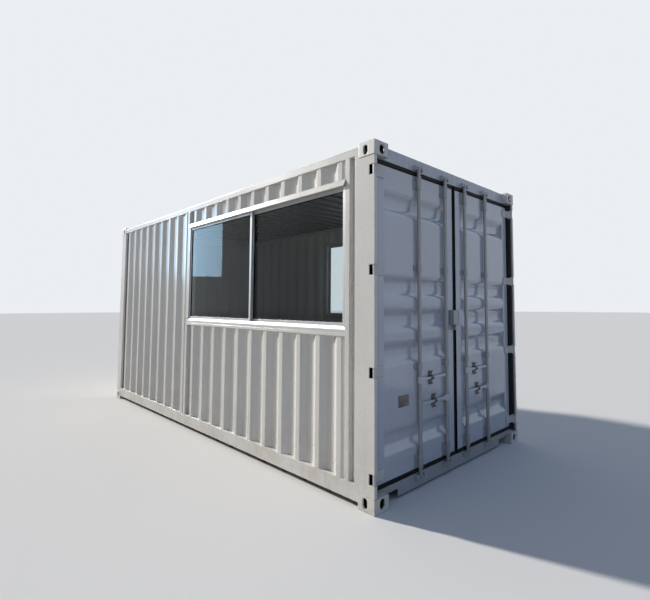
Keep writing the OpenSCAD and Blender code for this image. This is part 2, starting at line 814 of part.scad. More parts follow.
module window_frame_jambs() {
    color(aluminium) both_sides() for (x = [win_x0, win_x1 - frame_w]) difference() {
        translate([x, post_y - frame_d, win_z0 + frame_sill])
            cube([frame_w, frame_d, window_h - frame_sill - frame_head]);
        for (y = [front_track_y, rear_track_y])
            translate([x == win_x0 ? x + frame_w - sash_bite - seat : x - cut, y - sash_d - seat, win_z0])
                cube([sash_bite + seat + cut, sash_d + 2 * seat, window_h]);
    }
}

// Stiles and rails of one sash from x, with its outer face at y
module sash(x, y) {
    for (dx = [0, sash_l - sash_w])
        translate([x + dx, y - sash_d, sash_z0]) cube([sash_w, sash_d, sash_h]);
    for (z = [sash_z0, sash_z0 + sash_h - sash_w])
        translate([x + sash_w + seat, y - sash_d, z]) cube([sash_l - 2 * sash_w - 2 * seat, sash_d, sash_w]);
}

module front_sashes() {
    color(aluminium) both_sides() sash(win_x0 + frame_w - sash_bite, front_track_y);
}

module rear_sashes() {
    color(aluminium) both_sides() sash(win_x1 - frame_w + sash_bite - sash_l, rear_track_y);
}

module window_glass() {
    size = [sash_l - 2 * sash_w - 2 * seat, glass_t, sash_h - 2 * sash_w - 2 * seat];
    z = sash_z0 + sash_w + seat;
    color([0.55, 0.62, 0.62, 0.4]) both_sides() {
        translate([win_x0 + frame_w - sash_bite + sash_w + seat, front_track_y - (sash_d + glass_t) / 2, z])
            cube(size);
        translate([win_x1 - frame_w + sash_bite - sash_l + sash_w + seat,
            rear_track_y - (sash_d + glass_t) / 2, z]) cube(size);
    }
}

// Door pieces are drawn for the right door at +Y, and mirrored where the left door's are alike
module stiles() {
    for (y = [leaf_y0, leaf_y1 - leaf_tube])
        tube([leaf_x - leaf_d, y, leaf_z0], [leaf_d, leaf_tube, leaf_z1 - leaf_z0], leaf_tube_t, 2);
}

module rails() {
    for (z = [leaf_z0, panel_z1])
        tube([leaf_x - leaf_d, panel_y0, z], [leaf_d, panel_y1 - panel_y0, leaf_tube], leaf_tube_t, 1);
}

// Sheet between the tubes, flush with their outer face, with five horizontal troughs
module panel() {
    slope = (panel_mouth - panel_bottom) / 2;
    zs = [for (c = troughs, f = [-panel_mouth / 2, -panel_bottom / 2, panel_bottom / 2, panel_mouth / 2]) c + f];
    xs = [for (c = troughs, f = [0, panel_depth, panel_depth, 0]) -f];
    last = len(zs) - 1;
    translate([leaf_x, panel_y1, 0]) rotate([90, 0, 0]) linear_extrude(panel_y1 - panel_y0)
        polygon(concat([[0, panel_z0]], [for (i = [0:last]) [xs[i], zs[i]]], [[0, panel_z1]],
            [[-sheet_t, panel_z1]], [for (i = [last:-1:0]) [xs[i] - sheet_t, zs[i]]], [[-sheet_t, panel_z0]]));
}

// Rubber strips round the leaf, which close the gaps to the frame and to the other door
module seal() {
    x0 = leaf_x - leaf_d + seal_step;
    y0 = leaf_y0 - seal_lap;
    y1 = jamb_y - seal_gap;
    for (z = [[leaf_z1, header_z - seal_gap], [sill_top + seal_gap, leaf_z0]])
        translate([x0, y0, z[0]]) cube([seal_d, y1 - y0, z[1] - z[0]]);
    for (y = [[y0, leaf_y0], [leaf_y1, y1]])
        translate([x0, y[0], leaf_z0 + seat]) cube([seal_d, y[1] - y[0], leaf_z1 - leaf_z0 - 2 * seat]);
}

module cam(y, z) {
    back = head_x + cam_gap;
    front = bar_x + bar_d / 2 + cam_nose;
    nose = bar_d / 2 + cam_nose;
    translate([0, 0, z]) linear_extrude(cam_h)
        polygon([[back, y - cam_w / 2], [back, y + cam_w / 2], [back + cam_edge, y + cam_w / 2],
            [front, y + nose], [front, y - nose], [back + cam_edge, y - cam_w / 2]]);
}

module lock_bars() {
    low = keeper_low + (keeper_h - cam_h) / 2;
    high = keeper_top + (keeper_h - cam_h) / 2;
    for (y = bars) {
        translate([bar_x, y, low - bar_end])
            cylinder(h = high + cam_h - low + 2 * bar_end, d = bar_d, $fn = 48);
        cam(y, low);
        cam(y, high);
    }
}

// Pressed bracket: a plate on the leaf that rises in a round arch over the bar
module bracket(y, z, h) {
    arch_r = bar_d / 2 + bracket_t;
    translate([0, 0, z - h / 2]) linear_extrude(h) difference() {
        union() {
            translate([leaf_x, y - bracket_w / 2]) square([bracket_t, bracket_w]);
            translate([leaf_x, y - arch_r]) square([bar_off, 2 * arch_r]);
            translate([bar_x, y]) circle(r = arch_r, $fn = 48);
        }
        translate([bar_x, y]) circle(r = bar_d / 2 + bar_clear, $fn = 48);
    }
}

module bar_brackets() {
    for (y = bars) {
        bracket(y, bearing_low, bearing_h);
        bracket(y, guide_low, guide_h);
        bracket(y, guide_high, guide_h);
        bracket(y, bearing_top, bearing_h);
    }
}

// Flat tapering handle with a round clamp on its bar, pointing along Y by the sign of way
module handle(y, z, way) {
    root = handle_hub_h / 2 - hub_step;
    tip = handle_tip_h / 2;
    difference() {
        union() {
            translate([bar_x, y, z - handle_hub_h / 2])
                cylinder(h = handle_hub_h, r = bar_d / 2 + hub_wall, $fn = 48);
            translate([bar_x + handle_t / 2, y, z]) rotate([0, -90, 0]) linear_extrude(handle_t)
                polygon([[-root, 0], [root, 0], [root, way * root_l], [tip, way * grip_start],
                    [tip, way * handle_l], [-tip, way * handle_l], [-tip, way * grip_start],
                    [-root, way * root_l]]);
        }
        translate([bar_x, y, z - handle_hub_h])
            cylinder(h = 2 * handle_hub_h, r = bar_d / 2 + seat, $fn = 48);
    }
}

// Catch of a handle: a plate on the leaf with curled ends, and a strap bent round the handle, slit in
// front between the hook that carries it and the latch that closes over it
module catch(y, z) {
    r = norm([handle_t, handle_tip_h]) / 2 + catch_clear;
    curl_z = catch_h / 2 - catch_curl - catch_t;
    translate([0, y + catch_w / 2, z]) rotate([90, 0, 0]) linear_extrude(catch_w) {
        translate([leaf_x, -curl_z]) square([catch_t, 2 * curl_z]);
        for (up = [0, 1]) mirror([0, up]) translate([leaf_x + catch_curl + catch_t, curl_z])
            intersection() {
                difference() {
                    circle(r = catch_curl + catch_t, $fn = 48);
                    circle(r = catch_curl, $fn = 48);
                }
                translate([-catch_curl - catch_t, 0]) square(catch_curl + catch_t);
            }
    }
    translate([bar_x, y + catch_w / 4, z]) rotate([90, 0, 0]) linear_extrude(catch_w / 2) difference() {
        union() {
            circle(r = r + catch_t, $fn = 48);
            translate([-bar_off, -r - catch_t]) square([bar_off, 2 * (r + catch_t)]);
        }
        circle(r = r, $fn = 48);
        translate([catch_t - bar_off, -r]) square([bar_off - catch_t, 2 * r]);
        translate([0, catch_slit]) square([r + catch_t + cut, catch_slit]);
    }
}

// Forged blade: a knuckle on the pin and a cranked arm that lies flat on the leaf
module blade(z) {
    translate([0, 0, z - blade_h / 2]) linear_extrude(blade_h) difference() {
        union() {
            translate([hinge_x, hinge_y]) circle(d = knuckle_d, $fn = 48);
            polygon([[hinge_x + blade_front, hinge_y - knuckle_d / 2 + blade_bite],
                [hinge_x - knuckle_d / 2 + blade_bite, hinge_y + blade_side],
                [leaf_x, leaf_y1 + blade_crank], [leaf_x, leaf_y1 - blade_l],
                [leaf_x + blade_end, leaf_y1 - blade_l], [leaf_x + blade_t, leaf_y1 - blade_l + blade_tip],
                [leaf_x + blade_t, leaf_y1 + blade_over]]);
        }
        translate([hinge_x, hinge_y]) circle(d = pin_d + 2 * pin_clear, $fn = 48);
    }
}

module hinges() {
    for (z = hinge_zs) blade(z);
}

// Half of the welded box that shrouds the padlock, open below and towards the other half
module lock_box(y0, y1, open_y) {
    z0 = lockbox_z - lockbox_h / 2;
    difference() {
        translate([leaf_x, y0, z0]) cube([lockbox_d, y1 - y0, lockbox_h]);
        translate([leaf_x - cut, y0 + (open_y < 0 ? -cut : lockbox_t), z0 - cut])
            cube([lockbox_d - lockbox_t + cut, y1 - y0 - lockbox_t + cut, lockbox_h - lockbox_t + cut]);
    }
}

// Lug for the padlock, welded on the left leaf inside the box and reaching below it
module hasp() {
    z0 = lockbox_z - lockbox_h / 2 - hasp_drop;
    low = lockbox_z - lockbox_h / 2;
    reach = lockbox_d - 2 * lockbox_t - seat;
    translate([0, hasp_y, 0]) rotate([90, 0, 0]) linear_extrude(hasp_t) difference() {
        translate([leaf_x, z0]) square([reach, low + hasp_drop - z0]);
        translate([leaf_x + reach / 2, z0 + hasp_drop / 2]) circle(d = hasp_hole, $fn = 48);
    }
}

module left_door_stiles() { color(door_paint) mirror([0, 1, 0]) stiles(); }
module left_door_rails() { color(door_paint) mirror([0, 1, 0]) rails(); }
module left_door_panel() { color(door_paint) mirror([0, 1, 0]) panel(); }
module left_door_seal() { color(rubber) mirror([0, 1, 0]) seal(); }
module left_door_lock_bars() { color(door_paint) mirror([0, 1, 0]) lock_bars(); }
module left_door_bar_brackets() { color(steel) mirror([0, 1, 0]) bar_brackets(); }
module left_door_hinges() { color(paint) mirror([0, 1, 0]) hinges(); }
module left_door_handles() {
    color(steel) {
        handle(-bar_inner, handle_low, -1);
        handle(-bar_outer, handle_high, 1);
    }
}
module left_door_catches() {
    color(steel) {
        catch(-bar_inner - catch_low_at, handle_low);
        catch(-bar_outer + catch_high_at, handle_high);
    }
}
module left_door_lock_box() {
    color(steel) {
        lock_box(-lockbox_w / 2 - lockbox_shift, lockbox_y - lockbox_gap, 1);
        hasp();
    }
}
module right_door_stiles() { color(door_paint) stiles(); }
module right_door_rails() { color(door_paint) rails(); }
module right_door_panel() { color(door_paint) panel(); }
module right_door_seal() { color(rubber) seal(); }
module right_door_lock_bars() { color(door_paint) lock_bars(); }
module right_door_bar_brackets() { color(steel) bar_brackets(); }
module right_door_hinges() { color(paint) hinges(); }
module right_door_handles() {
    color(steel) {
        handle(bar_outer, handle_low, -1);
        handle(bar_inner, handle_high, 1);
    }
}
module right_door_catches() {
    color(steel) {
        catch(bar_outer - catch_low_at, handle_low);
        catch(bar_inner + catch_high_at, handle_high);
    }
}
module right_door_lock_box() {
    color(door_paint) lock_box(lockbox_y, lockbox_w / 2 - lockbox_shift, -1);
}

bottom_corner_castings();
top_corner_castings();
end_corner_posts();
door_corner_posts();
hinge_pins();
top_side_rails();
bottom_side_rails();
end_rails();
door_header();
door_sill();
cam_keepers();
cross_members();
floor_boards();
roof_panel();
roof_plates();
end_wall();
left_wall();
left_wall_window_bay();
right_wall();
right_wall_window_bay();
window_studs();
window_rails();
window_flashings();
window_frame_rails();
window_frame_jambs();
front_sashes();
rear_sashes();
window_glass();
left_door_stiles();
left_door_rails();
left_door_panel();
left_door_seal();
left_door_lock_bars();
left_door_bar_brackets();
left_door_handles();
left_door_catches();
left_door_hinges();
left_door_lock_box();
right_door_stiles();
right_door_rails();
right_door_panel();
right_door_seal();
right_door_lock_bars();
right_door_bar_brackets();
right_door_handles();
right_door_catches();
right_door_hinges();
right_door_lock_box();
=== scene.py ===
import math

import bmesh
import bpy
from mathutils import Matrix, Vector


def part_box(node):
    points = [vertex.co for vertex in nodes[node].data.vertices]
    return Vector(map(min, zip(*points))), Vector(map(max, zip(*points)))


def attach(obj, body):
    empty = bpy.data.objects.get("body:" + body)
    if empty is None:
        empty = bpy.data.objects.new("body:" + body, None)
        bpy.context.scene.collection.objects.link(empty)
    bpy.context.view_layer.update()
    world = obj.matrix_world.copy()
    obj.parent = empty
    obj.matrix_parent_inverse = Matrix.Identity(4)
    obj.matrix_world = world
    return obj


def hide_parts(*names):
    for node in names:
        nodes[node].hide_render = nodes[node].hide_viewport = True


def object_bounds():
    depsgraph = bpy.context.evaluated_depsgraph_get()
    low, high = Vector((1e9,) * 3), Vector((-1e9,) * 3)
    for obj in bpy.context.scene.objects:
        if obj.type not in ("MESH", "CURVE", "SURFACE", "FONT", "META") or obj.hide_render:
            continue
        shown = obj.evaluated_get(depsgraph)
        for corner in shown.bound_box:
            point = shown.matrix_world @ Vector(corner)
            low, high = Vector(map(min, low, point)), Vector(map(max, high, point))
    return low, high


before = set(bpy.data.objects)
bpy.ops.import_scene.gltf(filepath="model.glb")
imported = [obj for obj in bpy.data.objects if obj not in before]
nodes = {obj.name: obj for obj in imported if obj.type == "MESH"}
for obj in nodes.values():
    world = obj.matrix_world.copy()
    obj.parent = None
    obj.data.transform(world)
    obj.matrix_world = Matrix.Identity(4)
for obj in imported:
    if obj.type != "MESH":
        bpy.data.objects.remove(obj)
cad_low, cad_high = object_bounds()
scene = bpy.context.scene
scene.view_settings.view_transform = "Standard"

# Camera
# A wide lens at eye height, in front of the corner between the window side and the doors.
# It is tipped up a little, and its picture is shifted a little off the middle of the lens.
CAMERA_AT = (5.286, -3.631, 1.588)
CAMERA_TILT = math.radians(93.67)
CAMERA_TURN = math.radians(43.09)
camera = bpy.data.objects.new("camera", bpy.data.cameras.new("camera"))
scene.collection.objects.link(camera)
scene.camera = camera
camera.location = CAMERA_AT
camera.rotation_euler = (CAMERA_TILT, 0, CAMERA_TURN)
camera.data.sensor_width = 36
camera.data.lens = 23.68
camera.data.shift_x = -0.0764
camera.data.shift_y = -0.0359

# Studio
# A low sun stands behind the closed end, a little to the window side, so the slopes of the side
# sheets catch it and the doors stay in open shade. A cool dome fills the rest, bluest on the door
# side and dim on the window side. The camera, metal and glass see a plain pale backdrop, and a
# softbox behind the closed end gleams in the gloss and in the window's far pane.
SUN_FROM = Vector((-0.93, -0.255, 0.42))
SUN_COLOUR = (1.0, 0.97, 0.92)
SUN_STRENGTH = 4.5
SUN_SPREAD = math.radians(3)
SOFTBOX_AT = Vector((-9.26, -5.41, 3.75))
SOFTBOX_AIM = Vector((5.286, 1.25, 3.75))
SOFTBOX_SIZE = (1.45, 2.4)
SOFTBOX_COLOUR = (0.46, 0.74, 1.0)
SOFTBOX_POWER = 116
DOME_WARM = (0.82, 0.89, 1.0, 1)
DOME_BLUE = (0.35, 0.56, 0.96, 1)
DOME_DIM = (0.34, 0.36, 0.40, 1)
DOME_FAR = (0.26, 0.30, 0.38, 1)
DOME_STRENGTH = 0.54
DIM_WAY = (-0.31, -0.95, 0)
BACKDROP = (0.83, 0.86, 0.89, 1)
FLOOR_RADIUS = 90
FLOOR_SHOWN = (0.76, 0.74, 0.71, 1)
FLOOR_SUNNY = (0.56, 0.53, 0.48, 1)
FLOOR_SHADED = (0.44, 0.42, 0.40, 1)
SHADE_STARTS = (2.9, 3.5)


def link(tree, source, target):
    tree.links.new(source, target)


def add(tree, kind, **settings):
    """A new node with its settings, and its plain input values given as in_0=value."""
    node = tree.nodes.new(kind)
    for name, value in settings.items():
        if name.startswith("in_"):
            node.inputs[int(name[3:])].default_value = value
        else:
            setattr(node, name, value)
    return node


def calc(tree, operation, *values):
    """One step of arithmetic on numbers and on outputs of other nodes."""
    node = add(tree, "ShaderNodeMath", operation=operation)
    for value, target in zip(values, node.inputs):
        if isinstance(value, (int, float)):
            target.default_value = value
        else:
            link(tree, value, target)
    return node.outputs[0]


def ramp(tree, source, cut, values=(0, 1)):
    """Turns softly from one value to the other as the source crosses the cut."""
    node = add(tree, "ShaderNodeMapRange", interpolation_type="SMOOTHSTEP",
               in_1=cut[0], in_2=cut[1], in_3=values[0], in_4=values[1])
    link(tree, source, node.inputs[0])
    return node.outputs[0]


def blend_colour(tree, factor, first, second):
    """The first colour where the factor is 0, and the second where it is 1."""
    node = add(tree, "ShaderNodeMix", data_type="RGBA")
    link(tree, factor, node.inputs[0])
    for value, target in ((first, node.inputs[6]), (second, node.inputs[7])):
        if isinstance(value, tuple):
            target.default_value = value
        else:
            link(tree, value, target)
    return node.outputs[2]


def blend_shader(tree, factor, first, second):
    """The first shader where the factor is 0, and the second where it is 1."""
    node = add(tree, "ShaderNodeMixShader")
    for source, target in zip((factor, first, second), node.inputs):
        link(tree, source, target)
    return node.outputs[0]


def seen_plainly(tree):
    """1 for rays from the camera, or seen in metal and glass, before they light a dull surface."""
    path = add(tree, "ShaderNodeLightPath").outputs
    straight = calc(tree, "MAXIMUM", path["Is Camera Ray"], path["Is Glossy Ray"])
    straight = calc(tree, "MAXIMUM", straight, path["Is Transmission Ray"])
    return calc(tree, "MULTIPLY", straight, calc(tree, "LESS_THAN", path["Diffuse Depth"], 0.5))


def new_material(name):
    material = bpy.data.materials.new(name)
    material.use_nodes = True
    return material, material.node_tree, material.node_tree.nodes["Principled BSDF"]


sun = bpy.data.objects.new("sun", bpy.data.lights.new("sun", "SUN"))
scene.collection.objects.link(sun)
sun.data.energy = SUN_STRENGTH
sun.data.angle = SUN_SPREAD
sun.data.color = SUN_COLOUR
sun.rotation_euler = SUN_FROM.to_track_quat("Z", "Y").to_euler()

softbox = bpy.data.objects.new("softbox", bpy.data.lights.new("softbox", "AREA"))
scene.collection.objects.link(softbox)
softbox.data.shape = "RECTANGLE"
softbox.data.size, softbox.data.size_y = SOFTBOX_SIZE
softbox.data.energy = SOFTBOX_POWER
softbox.data.color = SOFTBOX_COLOUR
softbox.location = SOFTBOX_AT
softbox.rotation_euler = (SOFTBOX_AT - SOFTBOX_AIM).to_track_quat("Z", "Y").to_euler()
softbox.visible_camera = False
softbox.visible_diffuse = False
softbox.visible_transmission = False

world = bpy.data.worlds.new("dome")
scene.world = world
world.use_nodes = True
tree = world.node_tree
tree.nodes.clear()
way = add(tree, "ShaderNodeTexCoord").outputs["Generated"]
split = add(tree, "ShaderNodeSeparateXYZ")
link(tree, way, split.inputs[0])
to_doors, to_far_side = split.outputs[0], split.outputs[1]
to_dim = add(tree, "ShaderNodeVectorMath", operation="DOT_PRODUCT", in_1=DIM_WAY)
link(tree, way, to_dim.inputs[0])
lit = blend_colour(tree, ramp(tree, to_doors, (-0.5, 0.6)), DOME_WARM, DOME_BLUE)
lit = blend_colour(tree, ramp(tree, to_far_side, (0.25, 0.85)), lit, DOME_FAR)
lit = blend_colour(tree, ramp(tree, to_dim.outputs["Value"], (-0.1, 0.75)), lit, DOME_DIM)
dome = add(tree, "ShaderNodeBackground", in_1=DOME_STRENGTH)
link(tree, lit, dome.inputs[0])
backdrop = add(tree, "ShaderNodeBackground", in_0=BACKDROP, in_1=1)
sky = blend_shader(tree, seen_plainly(tree), dome.outputs[0], backdrop.outputs[0])
link(tree, sky, add(tree, "ShaderNodeOutputWorld").inputs[0])

# The pale floor throws less light back on the cabin than it shows. In front of the doors its bounced colour
# is darker still, a painted shadow on the floor.
floor_material, tree, shader = new_material("studio_floor")
tree.nodes.remove(shader)
split = add(tree, "ShaderNodeSeparateXYZ")
link(tree, add(tree, "ShaderNodeNewGeometry").outputs["Position"], split.inputs[0])
bounced = add(tree, "ShaderNodeBsdfDiffuse")
beyond_doors = ramp(tree, split.outputs[0], SHADE_STARTS)
link(tree, blend_colour(tree, beyond_doors, FLOOR_SUNNY, FLOOR_SHADED), bounced.inputs[0])
shown = add(tree, "ShaderNodeBsdfDiffuse", in_0=FLOOR_SHOWN)
surface = blend_shader(tree, seen_plainly(tree), bounced.outputs[0], shown.outputs[0])
link(tree, surface, tree.nodes["Material Output"].inputs["Surface"])
bpy.ops.mesh.primitive_circle_add(vertices=96, radius=FLOOR_RADIUS, fill_type="NGON", location=(0, 0, 0))
studio_floor = bpy.context.object
studio_floor.name = "studio_floor"
studio_floor.data.materials.append(floor_material)

# Frame and walls
# Posts, rails and the corrugated sheets are of weathering steel, welded together, under two coats
# of an off-white marine paint. Dust has settled low down, with a few rust pips.
BODY_PAINT = (0.74, 0.725, 0.69, 1)
DUST = (0.34, 0.29, 0.22, 1)
RUST = (0.16, 0.06, 0.025, 1)
CHIPPED = (0.20, 0.13, 0.09, 1)


def new_group(name, inputs, outputs):
    """A shader node group with its sockets, given as (name, kind, value)."""
    group = bpy.data.node_groups.new(name, "ShaderNodeTree")
    for label, kind, value in inputs:
        socket = group.interface.new_socket(name=label, in_out="INPUT", socket_type=kind)
        socket.default_value = value
    for label, kind in outputs:
        group.interface.new_socket(name=label, in_out="OUTPUT", socket_type=kind)
    return group, group.nodes.new("NodeGroupInput"), group.nodes.new("NodeGroupOutput")


def pattern(tree, vector, scale, detail, cut, values=(0, 1), stretch=(1, 1, 1)):
    """Noise with so many lumps to a stretched metre, cut to a soft mask."""
    mapping = add(tree, "ShaderNodeMapping")
    mapping.inputs["Scale"].default_value = stretch
    link(tree, vector, mapping.inputs["Vector"])
    noise = add(tree, "ShaderNodeTexNoise")
    noise.inputs["Scale"].default_value = scale
    noise.inputs["Detail"].default_value = detail
    link(tree, mapping.outputs[0], noise.inputs["Vector"])
    return ramp(tree, noise.outputs[0], cut, values)


def scaled(tree, source, factor):
    return calc(tree, "MULTIPLY", source, factor)


def weathered_paint():
    """Sprayed paint with soft tone changes, rain streaks, dust near the ground and rust pips."""
    group, given, out = new_group(
        "weathered_paint",
        [("Paint", "NodeSocketColor", (0.7, 0.7, 0.66, 1)), ("Dust", "NodeSocketFloat", 0.5),
         ("Rust", "NodeSocketFloat", 0.3), ("Clean Roughness", "NodeSocketFloat", 0.35)],
        [("Colour", "NodeSocketColor"), ("Roughness", "NodeSocketFloat"), ("Height", "NodeSocketFloat")])
    place = add(group, "ShaderNodeTexCoord").outputs["Object"]
    split = add(group, "ShaderNodeSeparateXYZ")
    link(group, place, split.inputs[0])

    tone = pattern(group, place, scale=0.8, detail=3, cut=(0.3, 0.7), values=(0.93, 1.04),
                   stretch=(1, 1, 0.6))
    mottle = pattern(group, place, scale=34, detail=4, cut=(0.3, 0.7), values=(0.98, 1.015))
    toned = add(group, "ShaderNodeVectorMath", operation="SCALE")
    link(group, given.outputs["Paint"], toned.inputs[0])
    link(group, calc(group, "MULTIPLY", tone, mottle), toned.inputs["Scale"])

    streaks = pattern(group, place, scale=1, detail=5, cut=(0.5, 0.78), stretch=(11, 11, 0.35))
    near_ground = ramp(group, split.outputs[2], cut=(0.65, 0.05))
    blots = pattern(group, place, scale=4.5, detail=5, cut=(0.35, 0.7), stretch=(1, 1, 1.6))
    splash = calc(group, "MULTIPLY", near_ground, blots)
    dirt = calc(group, "ADD", scaled(group, streaks, 0.30), scaled(group, splash, 0.55))
    dirt = calc(group, "MINIMUM", calc(group, "MULTIPLY", dirt, given.outputs["Dust"]), 0.8)

    pips = calc(group, "MULTIPLY", pattern(group, place, scale=62, detail=2, cut=(0.69, 0.73)),
                pattern(group, place, scale=2.4, detail=3, cut=(0.52, 0.66)))
    pips = calc(group, "MULTIPLY", pips, given.outputs["Rust"])
    dusty = blend_colour(group, dirt, toned.outputs[0], DUST)
    link(group, blend_colour(group, pips, dusty, RUST), out.inputs["Colour"])

    rough = calc(group, "ADD", given.outputs["Clean Roughness"], scaled(group, dirt, 0.4))
    rough = calc(group, "ADD", rough, scaled(group, pips, 0.5))
    link(group, calc(group, "MINIMUM", rough, 0.95), out.inputs["Roughness"])

    dents = pattern(group, place, scale=2.2, detail=1, cut=(0.2, 0.8))
    peel = pattern(group, place, scale=160, detail=2, cut=(0.3, 0.7), values=(0, 0.012))
    height = calc(group, "ADD", dents, peel)
    link(group, calc(group, "SUBTRACT", height, scaled(group, pips, 0.08)), out.inputs["Height"])
    return group


PAINT_GROUP = weathered_paint()


def rounded(tree, edge):
    """The way that faces look once light finds their corners rounded by edge, in metres."""
    bevel = add(tree, "ShaderNodeBevel", samples=6)
    bevel.inputs["Radius"].default_value = edge
    return bevel.outputs[0]


def cover(tree, shader, coat, strength, depth, normal=None):
    """Joins a finish to the shader, with lumps of the given depth in metres."""
    bump = add(tree, "ShaderNodeBump")
    bump.inputs["Strength"].default_value = strength
    bump.inputs["Distance"].default_value = depth
    if normal is not None:
        link(tree, normal, bump.inputs["Normal"])
    link(tree, coat.outputs["Height"], bump.inputs["Height"])
    link(tree, coat.outputs["Colour"], shader.inputs["Base Color"])
    link(tree, coat.outputs["Roughness"], shader.inputs["Roughness"])
    link(tree, bump.outputs[0], shader.inputs["Normal"])


def on_edges(tree, normal):
    """1 on sharp outer edges, where the rounded normal leaves the face's own."""
    alike = add(tree, "ShaderNodeVectorMath", operation="DOT_PRODUCT")
    link(tree, add(tree, "ShaderNodeNewGeometry").outputs["Normal"], alike.inputs[0])
    link(tree, normal, alike.inputs[1])
    return ramp(tree, alike.outputs["Value"], cut=(0.93, 0.99), values=(1, 0))


def overlaid(material, mask, colour):
    """Covers the finish where the mask, made in the material's own tree, is 1."""
    tree = material.node_tree
    base = tree.nodes["Principled BSDF"].inputs["Base Color"]
    link(tree, blend_colour(tree, mask, base.links[0].from_socket, colour), base)


def painted(name, paint, dust, rust, roughness, edge, depth=0.004, wear=0, coat_weight=0):
    """A paint finish, on corners rounded by edge and chipped there by the wear."""
    material, tree, shader = new_material(name)
    coat = add(tree, "ShaderNodeGroup", node_tree=PAINT_GROUP)
    for label, value in (("Paint", paint), ("Dust", dust), ("Rust", rust), ("Clean Roughness", roughness)):
        coat.inputs[label].default_value = value
    normal = rounded(tree, edge)
    cover(tree, shader, coat, strength=0.6, depth=depth, normal=normal)
    if wear:
        place = add(tree, "ShaderNodeTexCoord").outputs["Object"]
        patches = pattern(tree, place, scale=26, detail=5, cut=(0.46, 0.60), values=(0, wear))
        overlaid(material, calc(tree, "MULTIPLY", on_edges(tree, normal), patches), CHIPPED)
    shader.inputs["Coat Weight"].default_value = coat_weight
    shader.inputs["Coat Roughness"].default_value = 0.06
    return material


def finish(material, *names):
    """Gives CAD nodes a material in place of their plain one."""
    for name in names:
        data = nodes[name].data
        data.materials.clear()
        data.materials.append(material)


finish(painted("body_paint", BODY_PAINT, dust=0.5, rust=0.35, roughness=0.28, edge=0.006, wear=0.35),
       "end_corner_posts", "top_side_rails", "bottom_side_rails", "end_rails", "window_studs",
       "window_rails", "window_flashings", "roof_plates")
finish(painted("sheet_paint", BODY_PAINT, dust=0.45, rust=0.15, roughness=0.22, edge=0.009),
       "left_wall", "left_wall_window_bay", "right_wall", "right_wall_window_bay", "end_wall")

# Door-end posts
# Box sections of the same steel, welded between the corner castings, that carry the hinge lugs.
# The rebate faces beside each leaf are painted near black, as painted shade.
REBATE_SHADE = (0.075, 0.08, 0.075, 1)
REBATE_X = 2.948
REBATE_REACH = 0.048
LOOKS_INWARD = -0.5


def place_of(tree):
    """How far along X, Y and Z a point of the piece lies."""
    split = add(tree, "ShaderNodeSeparateXYZ")
    link(tree, add(tree, "ShaderNodeTexCoord").outputs["Object"], split.inputs[0])
    return split.outputs


def facing(tree):
    """How much a face of the piece looks along X, Y and Z."""
    split = add(tree, "ShaderNodeSeparateXYZ")
    link(tree, add(tree, "ShaderNodeNewGeometry").outputs["True Normal"], split.inputs[0])
    return split.outputs


def all_of(tree, *masks):
    product = masks[0]
    for mask in masks[1:]:
        product = calc(tree, "MULTIPLY", product, mask)
    return product


post_paint = painted("post_paint", BODY_PAINT, dust=0.5, rust=0.35, roughness=0.28, edge=0.006, wear=0.35)
tree = post_paint.node_tree
place = place_of(tree)
inward = calc(tree, "LESS_THAN", calc(tree, "MULTIPLY", place[1], facing(tree)[1]), LOOKS_INWARD)
beside_leaf = calc(tree, "COMPARE", place[0], REBATE_X, REBATE_REACH)
overlaid(post_paint, all_of(tree, inward, beside_leaf), REBATE_SHADE)
finish(post_paint, "door_corner_posts")

# Roof
# One skin of steel sheet with pressed troughs, welded in between the top rails. It is painted outside, and
# its underside is painted near black as painted shade inside the cabin.
ROOF_UNDERSIDE_SHADE = (0.085, 0.088, 0.082, 1)
ROOF_INSIDE = -0.2
roof_paint = painted("roof_paint", BODY_PAINT, dust=0.7, rust=0.3, roughness=0.45, edge=0.009)
tree = roof_paint.node_tree
overlaid(roof_paint, calc(tree, "LESS_THAN", facing(tree)[2], ROOF_INSIDE), ROOF_UNDERSIDE_SHADE)
finish(roof_paint, "roof_panel")

# Corner castings
# Hollow blocks of cast steel with slotted holes, welded on at the eight corners. Lifting gear chips their
# edges. Each hollow is painted near black, as painted shade over bare rusty steel: it starts behind the
# thick outer walls of the block and ends at the thin inner ones, measured from the middle of the cabin.
CASTING_HOLLOW_SHADE = (0.035, 0.026, 0.02, 1)
CASTING_SIDE = 1.219
OUTER_WALL = 0.013
HALF_HEIGHT = cad_high[2] / 2
HOLLOW_X = (2.856, cad_high[0] - OUTER_WALL)
HOLLOW_Y = (1.062, CASTING_SIDE - OUTER_WALL)
HOLLOW_Z = (HALF_HEIGHT - 0.112, HALF_HEIGHT - 0.02)
casting_paint = painted("casting_paint", BODY_PAINT, dust=0.7, rust=0.9, roughness=0.42, edge=0.008,
                        wear=0.8)
tree = casting_paint.node_tree
place = place_of(tree)
height = calc(tree, "SUBTRACT", place[2], HALF_HEIGHT)
inside = []
for part_way, (inner, outer) in zip((place[0], place[1], height), (HOLLOW_X, HOLLOW_Y, HOLLOW_Z)):
    away = calc(tree, "ABSOLUTE", part_way)
    inside.append(calc(tree, "LESS_THAN", away, outer))
    inside.append(calc(tree, "GREATER_THAN", away, inner))
overlaid(casting_paint, all_of(tree, *inside), CASTING_HOLLOW_SHADE)
finish(casting_paint, "bottom_corner_castings", "top_corner_castings")

# Underframe
# Folded steel cross members, welded between the bottom rails under the floor. They have a thick
# black coat against stones and wet.
UNDERFRAME_PAINT = (0.05, 0.05, 0.052, 1)
finish(painted("underframe_paint", UNDERFRAME_PAINT, dust=1, rust=0.6, roughness=0.6, edge=0.003),
       "cross_members")
